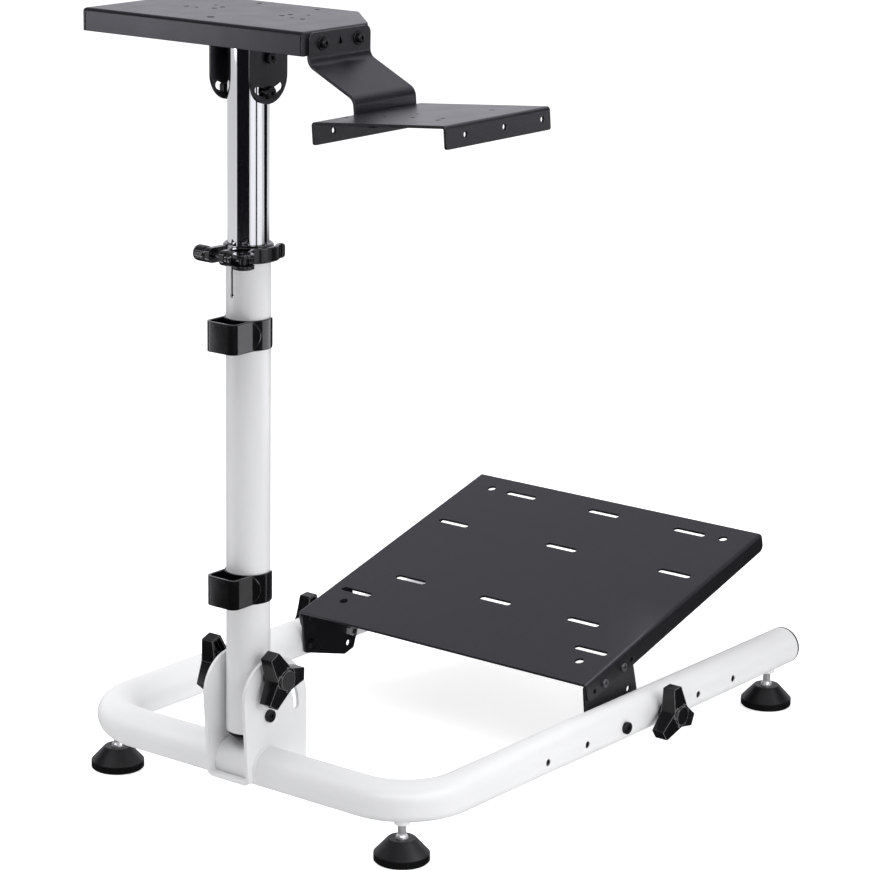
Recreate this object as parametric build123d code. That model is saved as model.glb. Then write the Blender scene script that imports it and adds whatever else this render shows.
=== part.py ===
from build123d import *
import math
import os

os.makedirs("parts", exist_ok=True)

# Racing wheel stand, millimetres. X points to the driver's right, Y forward to the pedals, Z up.
# The origin lies on the floor, straight below the middle of the crossbar.

# Shared clearances
FIT = 0.05              # radial play of a tube, screw or plug in its hole
GAP = 0.5               # gap between faces that pass each other
CUT = 1.0               # how far a cut runs past the face it opens

# Base: one round tube bent to a U, open towards the pedals' far side
BASE_OD = 48.0
BASE_WALL = 1.5
BASE_AXIS_Z = 70.7
LEG_SPACING = 496.0
BEND_RADIUS = 75.0
LEG_END_Y = 769.0
LEG_HOLE_D = 8.5
LEG_HOLE_FIRST_Y = 220.3
LEG_HOLE_PITCH = 79.0
LEG_HOLE_COUNT = 6
PIVOT_HOLE_INDEX = 2
BOSS_D = 18.0
BOSS_DROP = 3.0

# End plugs of the legs and of the column
PLUG_CAP = 3.5
PLUG_SPIGOT = 18.0
PLUG_WALL = 2.5
COLUMN_PLUG_DROP = 11.5

# Levelling feet: a rubber cone with a ball-ended stud
STUD_D = 9.5
STUD_BALL_D = 15.4
STUD_BALL_DOWN = 1.0
STUD_INTO_TUBE = 8.0
PAD_D = 64.0
PAD_RIM_H = 9.5
PAD_TOP_D = 32.0
PAD_H = 27.0
PAD_EDGE = 1.5
FOOT_ANGLE_RIGHT = 37.0
FOOT_ANGLE_LEFT = 51.0
REAR_FOOT_FROM_END = 34.2

# Screws
M8 = 8.0
M8_HEAD_D = 15.0
M8_HEAD_H = 5.0
M8_NUT = 13.0
M8_NUT_H = 6.5
M6 = 6.0
M6_HEAD_D = 10.5
M6_HEAD_H = 6.0
M6_NUT = 10.0
M6_NUT_H = 5.0
SCREW_END = 2.0

# Mast, and the column it slides in
MAST_OD = 47.0
MAST_WALL = 1.5
MAST_L = 508.0
COLUMN_WALL = 1.85
COLUMN_L = 570.0
COLUMN_Y = 3.0
COLUMN_BELOW_PIVOT = 22.0
SLIT_W = 3.0
SLIT_L = 56.0
SLIT_HOLE_D = 5.5

# Column bracket: U of sheet steel that the crossbar passes through
PIVOT_UP = 61.3
BRACKET_T = 4.0
BRACKET_PLAY = 2.1
BRACKET_BELOW = 15.7
BRACKET_ABOVE = 129.3
BRACKET_FRONT_LOW_Y = -33.0
BRACKET_FRONT_TOP_Y = -43.0
BRACKET_REAR_Y = 70.0
BRACKET_FRONT_R = 45.0
BRACKET_REAR_R = 62.0
BRACKET_BEND_R = 7.0
LOCK_RADIUS = 48.5
LOCK_SLOT_W = 9.0
LOCK_SLOT_START = 93.0
LOCK_SLOT_END = 0.0

# Clamp collar with its quick release
CLAMP_TURN = -5.0
COLLAR_WALL = 3.0
COLLAR_H = 17.0
COLLAR_LIP = 1.6
LIP_GAP = 0.6
LUG_W = 7.0
LUG_GAP = 16.0
LUG_REACH = 53.0
LUG_H = 17.0
LUG_END_R = 5.7
SKEWER_R = 45.0
SKEWER_D = 6.0
SKEWER_NUT_D = 17.5
SKEWER_NUT_L = 18.0
NUT_EDGE = 1.2
WASHER_D = 16.7
WASHER_L = 11.0
WASHER_GROOVE = 1.4
CAM_GAP = 0.4
CAM_D = 24.5
CAM_PIN_D = 5.0
EYE_WALL = 1.5
EYE_H = 8.0
EYE_GAP = 0.5
LEVER_GAP = 2.0
LEVER_H = 17.0
LEVER_T = 4.5
LEVER_START = 14.0
LEVER_FLARE_AT = 38.0
LEVER_FLARE_R = 14.0
LEVER_FLARE = 50.0
LEVER_TIP_R = 6.0
LEVER_EDGE_R = 1.0

# Cable clips: a ring that snaps round the column, with a loop for the cables
CLIP_T = 1.8
CLIP_H = 34.5
CLIP_DROPS = {"upper": 100.0, "lower": 395.5}
CLIP_MOUTH = 100.0
CLIP_END_R = 6.0
CLIP_LOOP_W = 44.0
CLIP_LOOP_REACH = 50.0
CLIP_LOOP_WALL = 3.0
CLIP_LOOP_R = 9.0
TONGUE_T = 1.2
TONGUE_R = 19.9
TONGUE_ANGLE = -65.0

# Wheel plate: six-sided sheet with three flanges
WHEEL_TOP_Z = 937.5
WHEEL_T = 2.5
WHEEL_HALF_W = 156.0
WHEEL_LEFT_EXTRA = 4.0
WHEEL_FRONT_Y = -90.0
WHEEL_SIDE_Y = 18.0
WHEEL_BACK_Y = 88.0
WHEEL_BACK_HALF_W = 86.0
WHEEL_FLANGE = 25.5
WHEEL_BEND_R = 4.0
WHEEL_RELIEF = 0.9
WHEEL_HOLE_D = 6.5
WHEEL_HOLES = [(84.0, -5.0), (49.0, 2.0), (49.0, 16.0), (42.0, 70.0)]
WHEEL_SMALL_D = 4.5
WHEEL_SMALL_HOLES = [(69.0, -5.0), (67.0, 25.0)]
WHEEL_CENTRE_FROM_FRONT = 31.0
WHEEL_CENTRE_D = 9.0

# Tilting yoke under the wheel plate
TILT_DROP = 47.0
MAST_ABOVE_TILT = 17.5
TILT_LOCK_R = 39.0
TILT_HALF_RANGE = 30.0
TILT_SLOT_W = 9.0
YOKE_PLAY = 3.5
YOKE_T = 3.0
YOKE_W = 62.0
YOKE_BELOW_TILT = 51.5
YOKE_BEND_R = 5.0

# Shifter bracket and shifter plate on the driver's right
SHIFT_T = 3.0
SHIFT_BRACKET_Y = -32.0
SHIFT_BRACKET_W = 102.0
SHIFT_BEND_R = 12.0
SHIFT_TOP_DROP = 1.5
SHIFT_BOLT_DROP = 13.5
SHIFT_KNEE_DROP = 34.5
SHIFT_OUT = 62.0
SHIFT_LOW_DROP = 65.0
SHIFT_ROLL = 4.75
SHIFT_CORNER_R = 8.0
SHIFT_BOLT_PITCH = 59.5
MARK_W = 8.0
MARK_BELOW = 3.5
MARK_ABOVE = 5.0
PLATE_W = 173.0
PLATE_L = 176.0
PLATE_FLANGE = 24.0
PLATE_BEND_R = 4.0
PLATE_CORNER_R = 3.0
PLATE_EDGE_DROP = 79.5
PLATE_BELOW_BRACKET = 2.0
PLATE_FRONT_Y = -155.0
PLATE_HOLE_FIRST = 32.0
PLATE_HOLE_PITCH = 65.0
PLATE_HOLE_COUNT = 3
PLATE_HOLE_DROP = 12.0
PLATE_HOLE_D = 6.6
PLATE_TOP_HOLE_D = 6.0
PLATE_TOP_HOLES = [(9.5, 43.5), (130.0, 43.5), (9.5, 134.0), (130.0, 134.0)]
PLATE_SMALL_D = 5.0
PLATE_SMALL_HOLES = [(15.0, 54.0), (125.5, 57.0), (49.0, 57.5), (86.4, 57.5), (70.6, 86.0)]

# Pedal plate with its two hangers
PEDAL_TILT = 15.0
PEDAL_FROM_PIVOT_Y = -18.9
PEDAL_FROM_PIVOT_Z = 47.6
PEDAL_L = 399.0
PEDAL_OVERHANG = 1.5
PEDAL_T = 3.0
PEDAL_BEND_R = 4.0
PEDAL_FLANGE_FRONT = 26.5
PEDAL_FLANGE_REAR = 22.0
PEDAL_CORNER_R = 8.0
PEDAL_SLOT_L = 48.0
PEDAL_SLOT_W = 9.0
PEDAL_UPPER_ROWS = [(30.2, [-134.5, 0.0, 134.5]), (128.6, [-175.3, 0.0, 175.3])]
PEDAL_LOWER_ROWS = [(124.0, [-135.8, 0.0, 135.8]), (70.5, [-184.4, 184.4])]
PEDAL_HOLE_D = 11.5
PEDAL_HOLE_X = 185.0
PEDAL_HOLE_UPPER = 28.5
PEDAL_HOLE_LOWER = 44.5
HANGER_T = 3.0
HANGER_TOP_GAP = 1.5
HANGER_SCREW_DROP = 17.0
HANGER_SCREWS = [36.0, 76.5]
HANGER_SCREW_HEAD_H = 3.0
FLANGE_SPARE_HOLES = [15.0, 95.0]
FLANGE_HOLE_D = 6.4
HANGER_FRONT = 0.5
HANGER_REAR = 101.0
HANGER_REAR_DROP = 74.0
HANGER_ANGLE = 13.0
HANGER_LOW_FRONT = (-11.0, -9.2)
HANGER_LOW_REAR = (-9.5, -31.5)
HANGER_CHAMFER = (9.0, -26.5)
HANGER_CORNER_R = 4.0
HANGER_HOLE_D = 8.5

# Three-lobed clamping knobs
KNOB_R = 35.0
KNOB_H = 29.0
KNOB_ARM_ROOT = 29.0
KNOB_ARM_TIP = 15.0
KNOB_HUB_R = 11.5
KNOB_HUB_RISE = 1.2
KNOB_TIP_DROP = 5.0
KNOB_BACK = 6.5
KNOB_BOSS_D = 22.0
KNOB_WALL = 2.6
KNOB_POCKET = 8.0
KNOB_CORNER_R = 1.5
KNOB_SCREW_IN = 6.0
BRACKET_KNOB_ANGLES = {"right": -2.0, "left": -10.0}
PEDAL_KNOB_ANGLE = -24.0

base_r = BASE_OD / 2
leg_x = LEG_SPACING / 2
leg_inner_x = leg_x - base_r
leg_outer_x = leg_x + base_r
mast_r = MAST_OD / 2
column_bore_r = mast_r + FIT
column_r = column_bore_r + COLUMN_WALL
pivot_z = BASE_AXIS_Z + PIVOT_UP
lock_z = pivot_z + LOCK_RADIUS
column_bottom = pivot_z - COLUMN_BELOW_PIVOT
column_top = column_bottom + COLUMN_L
bracket_inside = 2 * (column_r + BRACKET_PLAY)
bracket_x = bracket_inside / 2 + BRACKET_T
bracket_bottom = BASE_AXIS_Z - BRACKET_BELOW
bracket_top = BASE_AXIS_Z + BRACKET_ABOVE
collar_r = column_r + FIT + COLLAR_WALL
lug_x = LUG_GAP / 2 + LUG_W
cam_x = lug_x + WASHER_L + CAM_GAP + CAM_D / 2
clamp_frame = Pos(0, COLUMN_Y, column_top - COLLAR_H / 2) * Rot(Z=CLAMP_TURN)
wheel_left_w = WHEEL_HALF_W + WHEEL_LEFT_EXTRA
tilt_z = WHEEL_TOP_Z - TILT_DROP
tilt_lock_z = tilt_z - TILT_LOCK_R
mast_top = tilt_z + MAST_ABOVE_TILT
yoke_inside = 2 * (mast_r + YOKE_PLAY)
yoke_x = yoke_inside / 2 + YOKE_T
shift_bolt_z = WHEEL_TOP_Z - SHIFT_BOLT_DROP
shift_low_z = WHEEL_TOP_Z - SHIFT_LOW_DROP
plate_edge_z = WHEEL_TOP_Z - PLATE_EDGE_DROP
pedal_pivot_y = LEG_HOLE_FIRST_Y + PIVOT_HOLE_INDEX * LEG_HOLE_PITCH
pedal_lock_y = pedal_pivot_y + LEG_HOLE_PITCH
pedal_front_y = pedal_pivot_y + PEDAL_FROM_PIVOT_Y
pedal_front_z = BASE_AXIS_Z + PEDAL_FROM_PIVOT_Z
pedal_half_w = leg_inner_x + PEDAL_OVERHANG
hanger_outer_x = pedal_half_w - PEDAL_T
hanger_x = hanger_outer_x - HANGER_T


def rod_x(x1, x2, y, z, diameter):
    """Round bar along X from x1 to x2."""
    middle = Pos((x1 + x2) / 2, y, z)
    return middle * Rot(Y=90) * Cylinder(diameter / 2, abs(x2 - x1))


def hex_x(x1, x2, y, z, flats):
    """Hexagon bar along X, measured across its flats."""
    face = RegularPolygon(flats / 2, 6, major_radius=False)
    return Pos(min(x1, x2), y, z) * Rot(Y=90) * extrude(face, abs(x2 - x1))


def bolt_x(x_head, x_nut, y, z, size, head_d, head_h, nut, nut_h):
    """Socket screw with its nut; the head's seat is at x_head and the nut's at x_nut."""
    way = 1 if x_head > x_nut else -1
    bolt = rod_x(x_head + way * head_h, x_nut - way * (nut_h + SCREW_END), y, z, size)
    head = rod_x(x_head, x_head + way * head_h, y, z, head_d)
    rim = head.edges().filter_by(GeomType.CIRCLE).sort_by(Axis.X)[-1 if way > 0 else 0]
    head = fillet(rim, head_h * 0.35)
    socket = hex_x(x_head + way * head_h * 0.45, x_head + way * (head_h + CUT), y, z, size * 0.62)
    return bolt + head + hex_x(x_nut, x_nut - way * nut_h, y, z, nut) - socket


def base_path():
    return FilletPolyline(
        (-leg_x, LEG_END_Y, BASE_AXIS_Z),
        (-leg_x, 0, BASE_AXIS_Z),
        (leg_x, 0, BASE_AXIS_Z),
        (leg_x, LEG_END_Y, BASE_AXIS_Z),
        radius=BEND_RADIUS,
    )


def foot_points():
    """Places of the four feet on the tube's centre line."""
    bend_x = leg_x - BEND_RADIUS
    right = math.radians(FOOT_ANGLE_RIGHT)
    left_turn = math.radians(FOOT_ANGLE_LEFT)
    rear_y = LEG_END_Y - REAR_FOOT_FROM_END
    return {
        "front_right": (bend_x + BEND_RADIUS * math.sin(right), BEND_RADIUS * (1 - math.cos(right))),
        "front_left": (-bend_x - BEND_RADIUS * math.sin(left_turn), BEND_RADIUS * (1 - math.cos(left_turn))),
        "rear_right": (leg_x, rear_y),
        "rear_left": (-leg_x, rear_y),
    }


def base_tube():
    path = base_path()
    start = Plane(origin=path @ 0, z_dir=path % 0)
    tube = sweep(start * Circle(base_r), path=path)
    foot_bottom = BASE_AXIS_Z - base_r - BOSS_DROP
    for x, y in foot_points().values():
        tube += Pos(x, y, foot_bottom) * extrude(Circle(BOSS_D / 2), base_r * 0.6)
    tube -= sweep(start * Circle(base_r - BASE_WALL), path=path)
    for x, y in foot_points().values():
        tube -= Pos(x, y, foot_bottom - CUT) * extrude(Circle(STUD_D / 2 + FIT), base_r)
    for side in (-1, 1):
        for index in range(LEG_HOLE_COUNT):
            y = LEG_HOLE_FIRST_Y + index * LEG_HOLE_PITCH
            tube -= rod_x(side * (leg_inner_x - CUT), side * (leg_outer_x + CUT), y, BASE_AXIS_Z, LEG_HOLE_D)
    return tube


def end_plug(side):
    spigot_r = base_r - BASE_WALL - FIT
    profile = make_face(Polyline(
        (0, 0), (base_r, 0), (base_r, PLUG_CAP * 0.45), (base_r - PLUG_CAP * 0.6, PLUG_CAP), (0, PLUG_CAP),
        close=True))
    cap = revolve(Plane.XZ * profile, Axis.Z)
    cap += Pos(0, 0, -PLUG_SPIGOT) * extrude(Circle(spigot_r) - Circle(spigot_r - PLUG_WALL), PLUG_SPIGOT)
    return Pos(side * leg_x, LEG_END_Y, BASE_AXIS_Z) * Rot(X=-90) * cap


def foot_pad(x, y):
    profile = make_face(Polyline(
        (0, 0), (PAD_D / 2 - PAD_EDGE, 0), (PAD_D / 2, PAD_EDGE), (PAD_D / 2, PAD_RIM_H),
        (PAD_TOP_D / 2 + PAD_EDGE, PAD_H - PAD_EDGE), (PAD_TOP_D / 2, PAD_H), (0, PAD_H), close=True))
    pad = revolve(Plane.XZ * profile, Axis.Z)
    pad -= Pos(0, 0, PAD_H - STUD_BALL_DOWN) * Sphere(STUD_BALL_D / 2 + FIT)
    return Pos(x, y, 0) * pad


def foot_stud(x, y):
    ball_z = PAD_H - STUD_BALL_DOWN
    top = BASE_AXIS_Z - base_r + STUD_INTO_TUBE
    stud = Pos(x, y, ball_z) * Sphere(STUD_BALL_D / 2)
    return stud + Pos(x, y, ball_z) * extrude(Circle(STUD_D / 2), top - ball_z)


def column_bracket():
    outline = make_face(Polyline(
        (BRACKET_FRONT_LOW_Y, bracket_bottom), (BRACKET_FRONT_TOP_Y, bracket_top),
        (BRACKET_REAR_Y, bracket_top), (BRACKET_REAR_Y, bracket_bottom), close=True))
    front = outline.vertices().sort_by(Axis.Y)[-2:].sort_by(Axis.X)[0]
    outline = fillet(front, BRACKET_FRONT_R)
    rear = outline.vertices().sort_by(Axis.Y)[-2:].sort_by(Axis.X)[-1]
    outline = fillet(rear, BRACKET_REAR_R)
    body = Pos(-bracket_x, 0, 0) * extrude(Plane.YZ * outline, 2 * bracket_x)
    lower = body.edges().filter_by(Axis.Y).sort_by(Axis.Z)[:2]
    body = fillet(lower, BRACKET_BEND_R)
    reach = 2 * (bracket_top - bracket_bottom)
    room = Box(bracket_inside, reach, reach, align=(Align.CENTER, Align.CENTER, Align.MIN))
    room = fillet(room.edges().filter_by(Axis.Y).sort_by(Axis.Z)[:2], BRACKET_BEND_R - BRACKET_T)
    body -= Pos(0, 0, bracket_bottom + BRACKET_T) * room
    body -= rod_x(-bracket_x - CUT, bracket_x + CUT, 0, BASE_AXIS_Z, BASE_OD + 2 * FIT)
    body -= rod_x(-bracket_x - CUT, bracket_x + CUT, COLUMN_Y, pivot_z, M8 + 2 * FIT)
    arc = CenterArc((COLUMN_Y, pivot_z), LOCK_RADIUS, LOCK_SLOT_END, LOCK_SLOT_START - LOCK_SLOT_END)
    slot = Plane.YZ * SlotArc(arc, LOCK_SLOT_W)
    return body - Pos(-bracket_x - CUT, 0, 0) * extrude(slot, 2 * (bracket_x + CUT))


def column_pivot_bolt():
    return bolt_x(bracket_x, -bracket_x, COLUMN_Y, pivot_z, M8, M8_HEAD_D, M8_HEAD_H, M8_NUT, M8_NUT_H)


def column_tube():
    ring = Circle(column_r) - Circle(column_bore_r)
    tube = Pos(0, COLUMN_Y, column_bottom) * extrude(ring, COLUMN_L)
    for z in (pivot_z, lock_z):
        tube -= rod_x(-2 * column_r, 2 * column_r, COLUMN_Y, z, M8 + 2 * FIT)
    slit = Box(SLIT_W, 2 * column_r, SLIT_L + CUT, align=(Align.CENTER, Align.MAX, Align.MIN))
    slit += Rot(X=90) * extrude(Circle(SLIT_HOLE_D / 2), 2 * column_r)
    return tube - clamp_frame * Pos(0, 0, COLLAR_H / 2 - SLIT_L) * slit


def column_plug():
    spigot_r = column_bore_r - FIT
    dome = make_face(Polyline(
        (0, 0), (column_r * 0.97, 0), (column_r * 0.9, -COLUMN_PLUG_DROP * 0.4),
        (column_r * 0.66, -COLUMN_PLUG_DROP * 0.8), (column_r * 0.3, -COLUMN_PLUG_DROP), (0, -COLUMN_PLUG_DROP),
        close=True))
    plug = revolve(Plane.XZ * dome, Axis.Z)
    plug += extrude(Circle(spigot_r) - Circle(spigot_r - PLUG_WALL), COLUMN_BELOW_PIVOT - M8)
    return Pos(0, COLUMN_Y, column_bottom) * plug


def clamp_collar():
    low = -COLLAR_H / 2
    high = COLLAR_H / 2
    bore = column_r + FIT
    lip_r = mast_r + LIP_GAP
    profile = make_face(Polyline(
        (bore, low), (collar_r, low), (collar_r, high), (collar_r - COLLAR_LIP, high + COLLAR_LIP),
        (lip_r, high + COLLAR_LIP), (lip_r, high), (bore, high), close=True))
    collar = revolve(Plane.XZ * profile, Axis.Z)
    root = column_r + COLLAR_WALL / 2
    lug = Box(2 * lug_x, LUG_REACH - root, LUG_H, align=(Align.CENTER, Align.MAX, Align.CENTER))
    ends = lug.edges().filter_by(Axis.X).sort_by(Axis.Y)[:2]
    collar += Pos(0, -root, 0) * fillet(ends, LUG_END_R)
    collar -= Box(LUG_GAP, 2 * LUG_REACH, 2 * COLLAR_H, align=(Align.CENTER, Align.MAX, Align.CENTER))
    collar -= rod_x(-2 * lug_x, 2 * lug_x, -SKEWER_R, 0, SKEWER_D + 2 * FIT)
    return clamp_frame * collar


def clamp_skewer():
    nut_end = -lug_x - SKEWER_NUT_L
    rod = rod_x(nut_end, cam_x - SKEWER_D / 2, -SKEWER_R, 0, SKEWER_D)
    nut = rod_x(nut_end, -lug_x, -SKEWER_R, 0, SKEWER_NUT_D)
    rod += chamfer(nut.edges().filter_by(GeomType.CIRCLE), NUT_EDGE)
    washers = rod_x(lug_x, lug_x + WASHER_L, -SKEWER_R, 0, WASHER_D)
    washers = chamfer(washers.edges().filter_by(GeomType.CIRCLE), NUT_EDGE)
    middle = lug_x + WASHER_L / 2
    groove = rod_x(middle - WASHER_GROOVE / 2, middle + WASHER_GROOVE / 2, -SKEWER_R, 0, 2 * WASHER_D)
    groove -= rod_x(middle - WASHER_GROOVE, middle + WASHER_GROOVE, -SKEWER_R, 0, WASHER_D - 2 * WASHER_GROOVE)
    rod += washers - groove
    rod += Pos(cam_x, -SKEWER_R, 0) * Cylinder(SKEWER_D / 2 + EYE_WALL, EYE_H)
    return clamp_frame * (rod + Pos(cam_x, -SKEWER_R, 0) * Cylinder(CAM_PIN_D / 2, LEVER_H))


def clamp_lever():
    """Cam round the pin, then an arm that follows the collar and flares out at its tip."""
    radius = collar_r + LEVER_GAP + LEVER_T / 2
    start = math.degrees(math.atan2(-SKEWER_R, cam_x)) + LEVER_START
    arc = CenterArc((0, 0), radius, start, LEVER_FLARE_AT - start)
    flare = JernArc(start=arc @ 1, tangent=arc % 1, radius=LEVER_FLARE_R, arc_size=-LEVER_FLARE)
    cam = Pos(cam_x, -SKEWER_R) * Circle(CAM_D / 2)
    lead = Line((cam_x, -SKEWER_R), arc @ 0)
    plan = cam + SlotArc(arc, LEVER_T) + SlotArc(flare, LEVER_T) + trace(lead, LEVER_T)
    body = Pos(0, 0, -LEVER_H / 2) * extrude(plan, LEVER_H)
    ends = body.faces().filter_by(Axis.Z).edges()
    body = fillet(ends, LEVER_EDGE_R)
    tip_side = Plane(origin=flare @ 1, x_dir=flare % 1, z_dir=(flare % 1).cross(Vector(0, 0, 1)))
    reach = 4 * SKEWER_R
    outline = Pos((LEVER_T - reach) / 2, 0) * RectangleRounded(reach, LEVER_H, LEVER_TIP_R)
    body &= extrude(tip_side * outline, reach, both=True)
    at_pin = Pos(cam_x, -SKEWER_R, 0)
    body -= at_pin * Cylinder(CAM_D / 2 + EYE_GAP, EYE_H + 2 * EYE_GAP)
    return clamp_frame * (body - at_pin * Cylinder(CAM_PIN_D / 2 + FIT, 2 * LEVER_H))


def cable_clip(z):
    inner = column_r + FIT
    outer = inner + CLIP_T
    half = math.radians(CLIP_MOUTH / 2)
    wide = 2 * outer * math.tan(half)
    mouth = make_face(Polyline((0, 0), (wide, wide / math.tan(half)), (-wide, wide / math.tan(half)), close=True))
    ring = extrude(Circle(outer) - Circle(inner) - mouth, CLIP_H)
    ends = ring.edges().filter_by(GeomType.LINE).filter_by(Axis.Z, reverse=True)
    ring = fillet(ends, CLIP_END_R)
    loop = Pos(0, -CLIP_LOOP_REACH / 2) * RectangleRounded(CLIP_LOOP_W, CLIP_LOOP_REACH, CLIP_LOOP_R)
    space_reach = CLIP_LOOP_REACH - CLIP_LOOP_WALL
    space = Pos(0, -space_reach / 2) * RectangleRounded(
        CLIP_LOOP_W - 2 * CLIP_LOOP_WALL, space_reach, CLIP_LOOP_R - CLIP_LOOP_WALL)
    ring += extrude(loop - Circle(inner) - (space - Circle(outer)), CLIP_H)
    tongue = extrude(Circle(outer + TONGUE_T) - Circle(inner), CLIP_H)
    tongue &= Pos(0, 0, CLIP_H / 2) * Rot(Z=TONGUE_ANGLE) * Rot(Y=90) * Cylinder(TONGUE_R, 4 * outer)
    beside = Box(2 * outer, 4 * outer, 2 * CLIP_H, align=(Align.MIN, Align.CENTER, Align.CENTER))
    tongue &= Pos(CLIP_LOOP_W / 2 - CLIP_LOOP_WALL / 2, 0, CLIP_H / 2) * beside
    ring += tongue + mirror(tongue, about=Plane.YZ)
    return Pos(0, COLUMN_Y, z - CLIP_H / 2) * ring


def mast_tube():
    ring = Circle(mast_r) - Circle(mast_r - MAST_WALL)
    tube = Pos(0, COLUMN_Y, mast_top - MAST_L) * extrude(ring, MAST_L)
    for z in (tilt_z, tilt_lock_z):
        tube -= rod_x(-MAST_OD, MAST_OD, COLUMN_Y, z, M8 + 2 * FIT)
    return tube


def tilt_bolt(z):
    return bolt_x(yoke_x, -yoke_x, COLUMN_Y, z, M8, M8_HEAD_D, M8_HEAD_H, M8_NUT, M8_NUT_H)


def tilt_yoke():
    top = WHEEL_TOP_Z - WHEEL_T
    round_z = tilt_z - YOKE_BELOW_TILT + YOKE_W / 2
    outline = Pos(COLUMN_Y, (top + round_z) / 2) * Rectangle(YOKE_W, top - round_z)
    outline += Pos(COLUMN_Y, round_z) * Circle(YOKE_W / 2)
    body = Pos(-yoke_x, 0, 0) * extrude(Plane.YZ * outline, 2 * yoke_x)
    upper = body.edges().filter_by(Axis.Y).sort_by(Axis.Z)[-2:]
    body = fillet(upper, YOKE_BEND_R)
    reach = 2 * (TILT_DROP + YOKE_BELOW_TILT)
    room = Box(yoke_inside, reach, reach, align=(Align.CENTER, Align.CENTER, Align.MAX))
    room = fillet(room.edges().filter_by(Axis.Y).sort_by(Axis.Z)[-2:], YOKE_BEND_R - YOKE_T)
    body -= Pos(0, COLUMN_Y, top - YOKE_T) * room
    body -= rod_x(-yoke_x - CUT, yoke_x + CUT, COLUMN_Y, tilt_z, M8 + 2 * FIT)
    arc = CenterArc((COLUMN_Y, tilt_z), TILT_LOCK_R, 270 - TILT_HALF_RANGE, 2 * TILT_HALF_RANGE)
    slot = Plane.YZ * SlotArc(arc, TILT_SLOT_W)
    return body - Pos(-yoke_x - CUT, 0, 0) * extrude(slot, 2 * (yoke_x + CUT))


def wheel_plate():
    top = make_face(Polyline(
        (-wheel_left_w, WHEEL_FRONT_Y), (WHEEL_HALF_W, WHEEL_FRONT_Y), (WHEEL_HALF_W, WHEEL_SIDE_Y),
        (WHEEL_BACK_HALF_W, WHEEL_BACK_Y), (-WHEEL_BACK_HALF_W, WHEEL_BACK_Y), (-wheel_left_w, WHEEL_SIDE_Y),
        close=True))
    bottom = WHEEL_TOP_Z - WHEEL_FLANGE
    block = Pos(0, 0, bottom) * extrude(top, WHEEL_FLANGE)
    bends = block.edges().filter_by(Axis.X).group_by(Axis.Z)[-1].sort_by(Axis.Y)[:1]
    bends += block.edges().filter_by(Axis.Y).group_by(Axis.Z)[-1]
    block = fillet(bends, WHEEL_BEND_R)
    inner_x = WHEEL_HALF_W - WHEEL_T
    inner_left = wheel_left_w - WHEEL_T
    inner_y = WHEEL_FRONT_Y + WHEEL_T
    inner = make_face(Polyline(
        (-inner_left, inner_y), (inner_x, inner_y), (inner_x, WHEEL_BACK_Y + CUT),
        (-inner_left, WHEEL_BACK_Y + CUT), close=True))
    skirt = WHEEL_FLANGE - WHEEL_T
    room = Pos(0, 0, bottom - CUT) * extrude(inner, skirt + CUT)
    edges = room.edges().filter_by(Axis.X).group_by(Axis.Z)[-1].sort_by(Axis.Y)[:1]
    edges += room.edges().filter_by(Axis.Y).group_by(Axis.Z)[-1]
    plate = block - fillet(edges, WHEEL_BEND_R - WHEEL_T)
    # the chamfered back corners stay flat
    beyond = Box(4 * WHEEL_HALF_W, 4 * WHEEL_BACK_Y, skirt, align=(Align.CENTER, Align.MIN, Align.MIN))
    plate -= Pos(0, WHEEL_SIDE_Y, bottom) * beyond
    relief = Box(WHEEL_RELIEF, 2 * (WHEEL_T + CUT), skirt, align=(Align.MAX, Align.CENTER, Align.MIN))
    plate -= Pos(inner_x, WHEEL_FRONT_Y, bottom) * relief
    plate -= Pos(-inner_left + WHEEL_RELIEF, WHEEL_FRONT_Y, bottom) * relief
    for side in (-1, 1):
        for x, y in WHEEL_HOLES:
            plate -= Pos(side * x, y, WHEEL_TOP_Z) * Cylinder(WHEEL_HOLE_D / 2, 4 * WHEEL_T)
        for x, y in WHEEL_SMALL_HOLES:
            plate -= Pos(side * x, y, WHEEL_TOP_Z) * Cylinder(WHEEL_SMALL_D / 2, 4 * WHEEL_T)
        for y in shifter_bolt_rows():
            plate -= rod_x(side * (inner_x - WHEEL_T), side * (wheel_left_w + CUT), y, shift_bolt_z, M6 + 2 * FIT)
    centre_y = WHEEL_FRONT_Y + WHEEL_CENTRE_FROM_FRONT
    return plate - Pos(0, centre_y, WHEEL_TOP_Z) * Cylinder(WHEEL_CENTRE_D / 2, 4 * WHEEL_T)


def shifter_bolt_rows():
    return (SHIFT_BRACKET_Y - SHIFT_BOLT_PITCH / 2, SHIFT_BRACKET_Y + SHIFT_BOLT_PITCH / 2)


def shifter_edge_x():
    """Middle of the bracket's lower leg at the height of the plate's edge."""
    lean = math.tan(math.radians(SHIFT_ROLL))
    return WHEEL_HALF_W + SHIFT_T / 2 + SHIFT_OUT + (shift_low_z - plate_edge_z) * lean


def shifter_frame():
    """Placement of the shifter plate: its upper left front corner, rolled up towards the right."""
    half = SHIFT_T / 2 / math.cos(math.radians(SHIFT_ROLL))
    return Pos(shifter_edge_x() + half, PLATE_FRONT_Y, plate_edge_z) * Rot(Y=-SHIFT_ROLL)


def plate_hole_rows():
    return [PLATE_HOLE_FIRST + index * PLATE_HOLE_PITCH for index in range(PLATE_HOLE_COUNT)]


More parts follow.
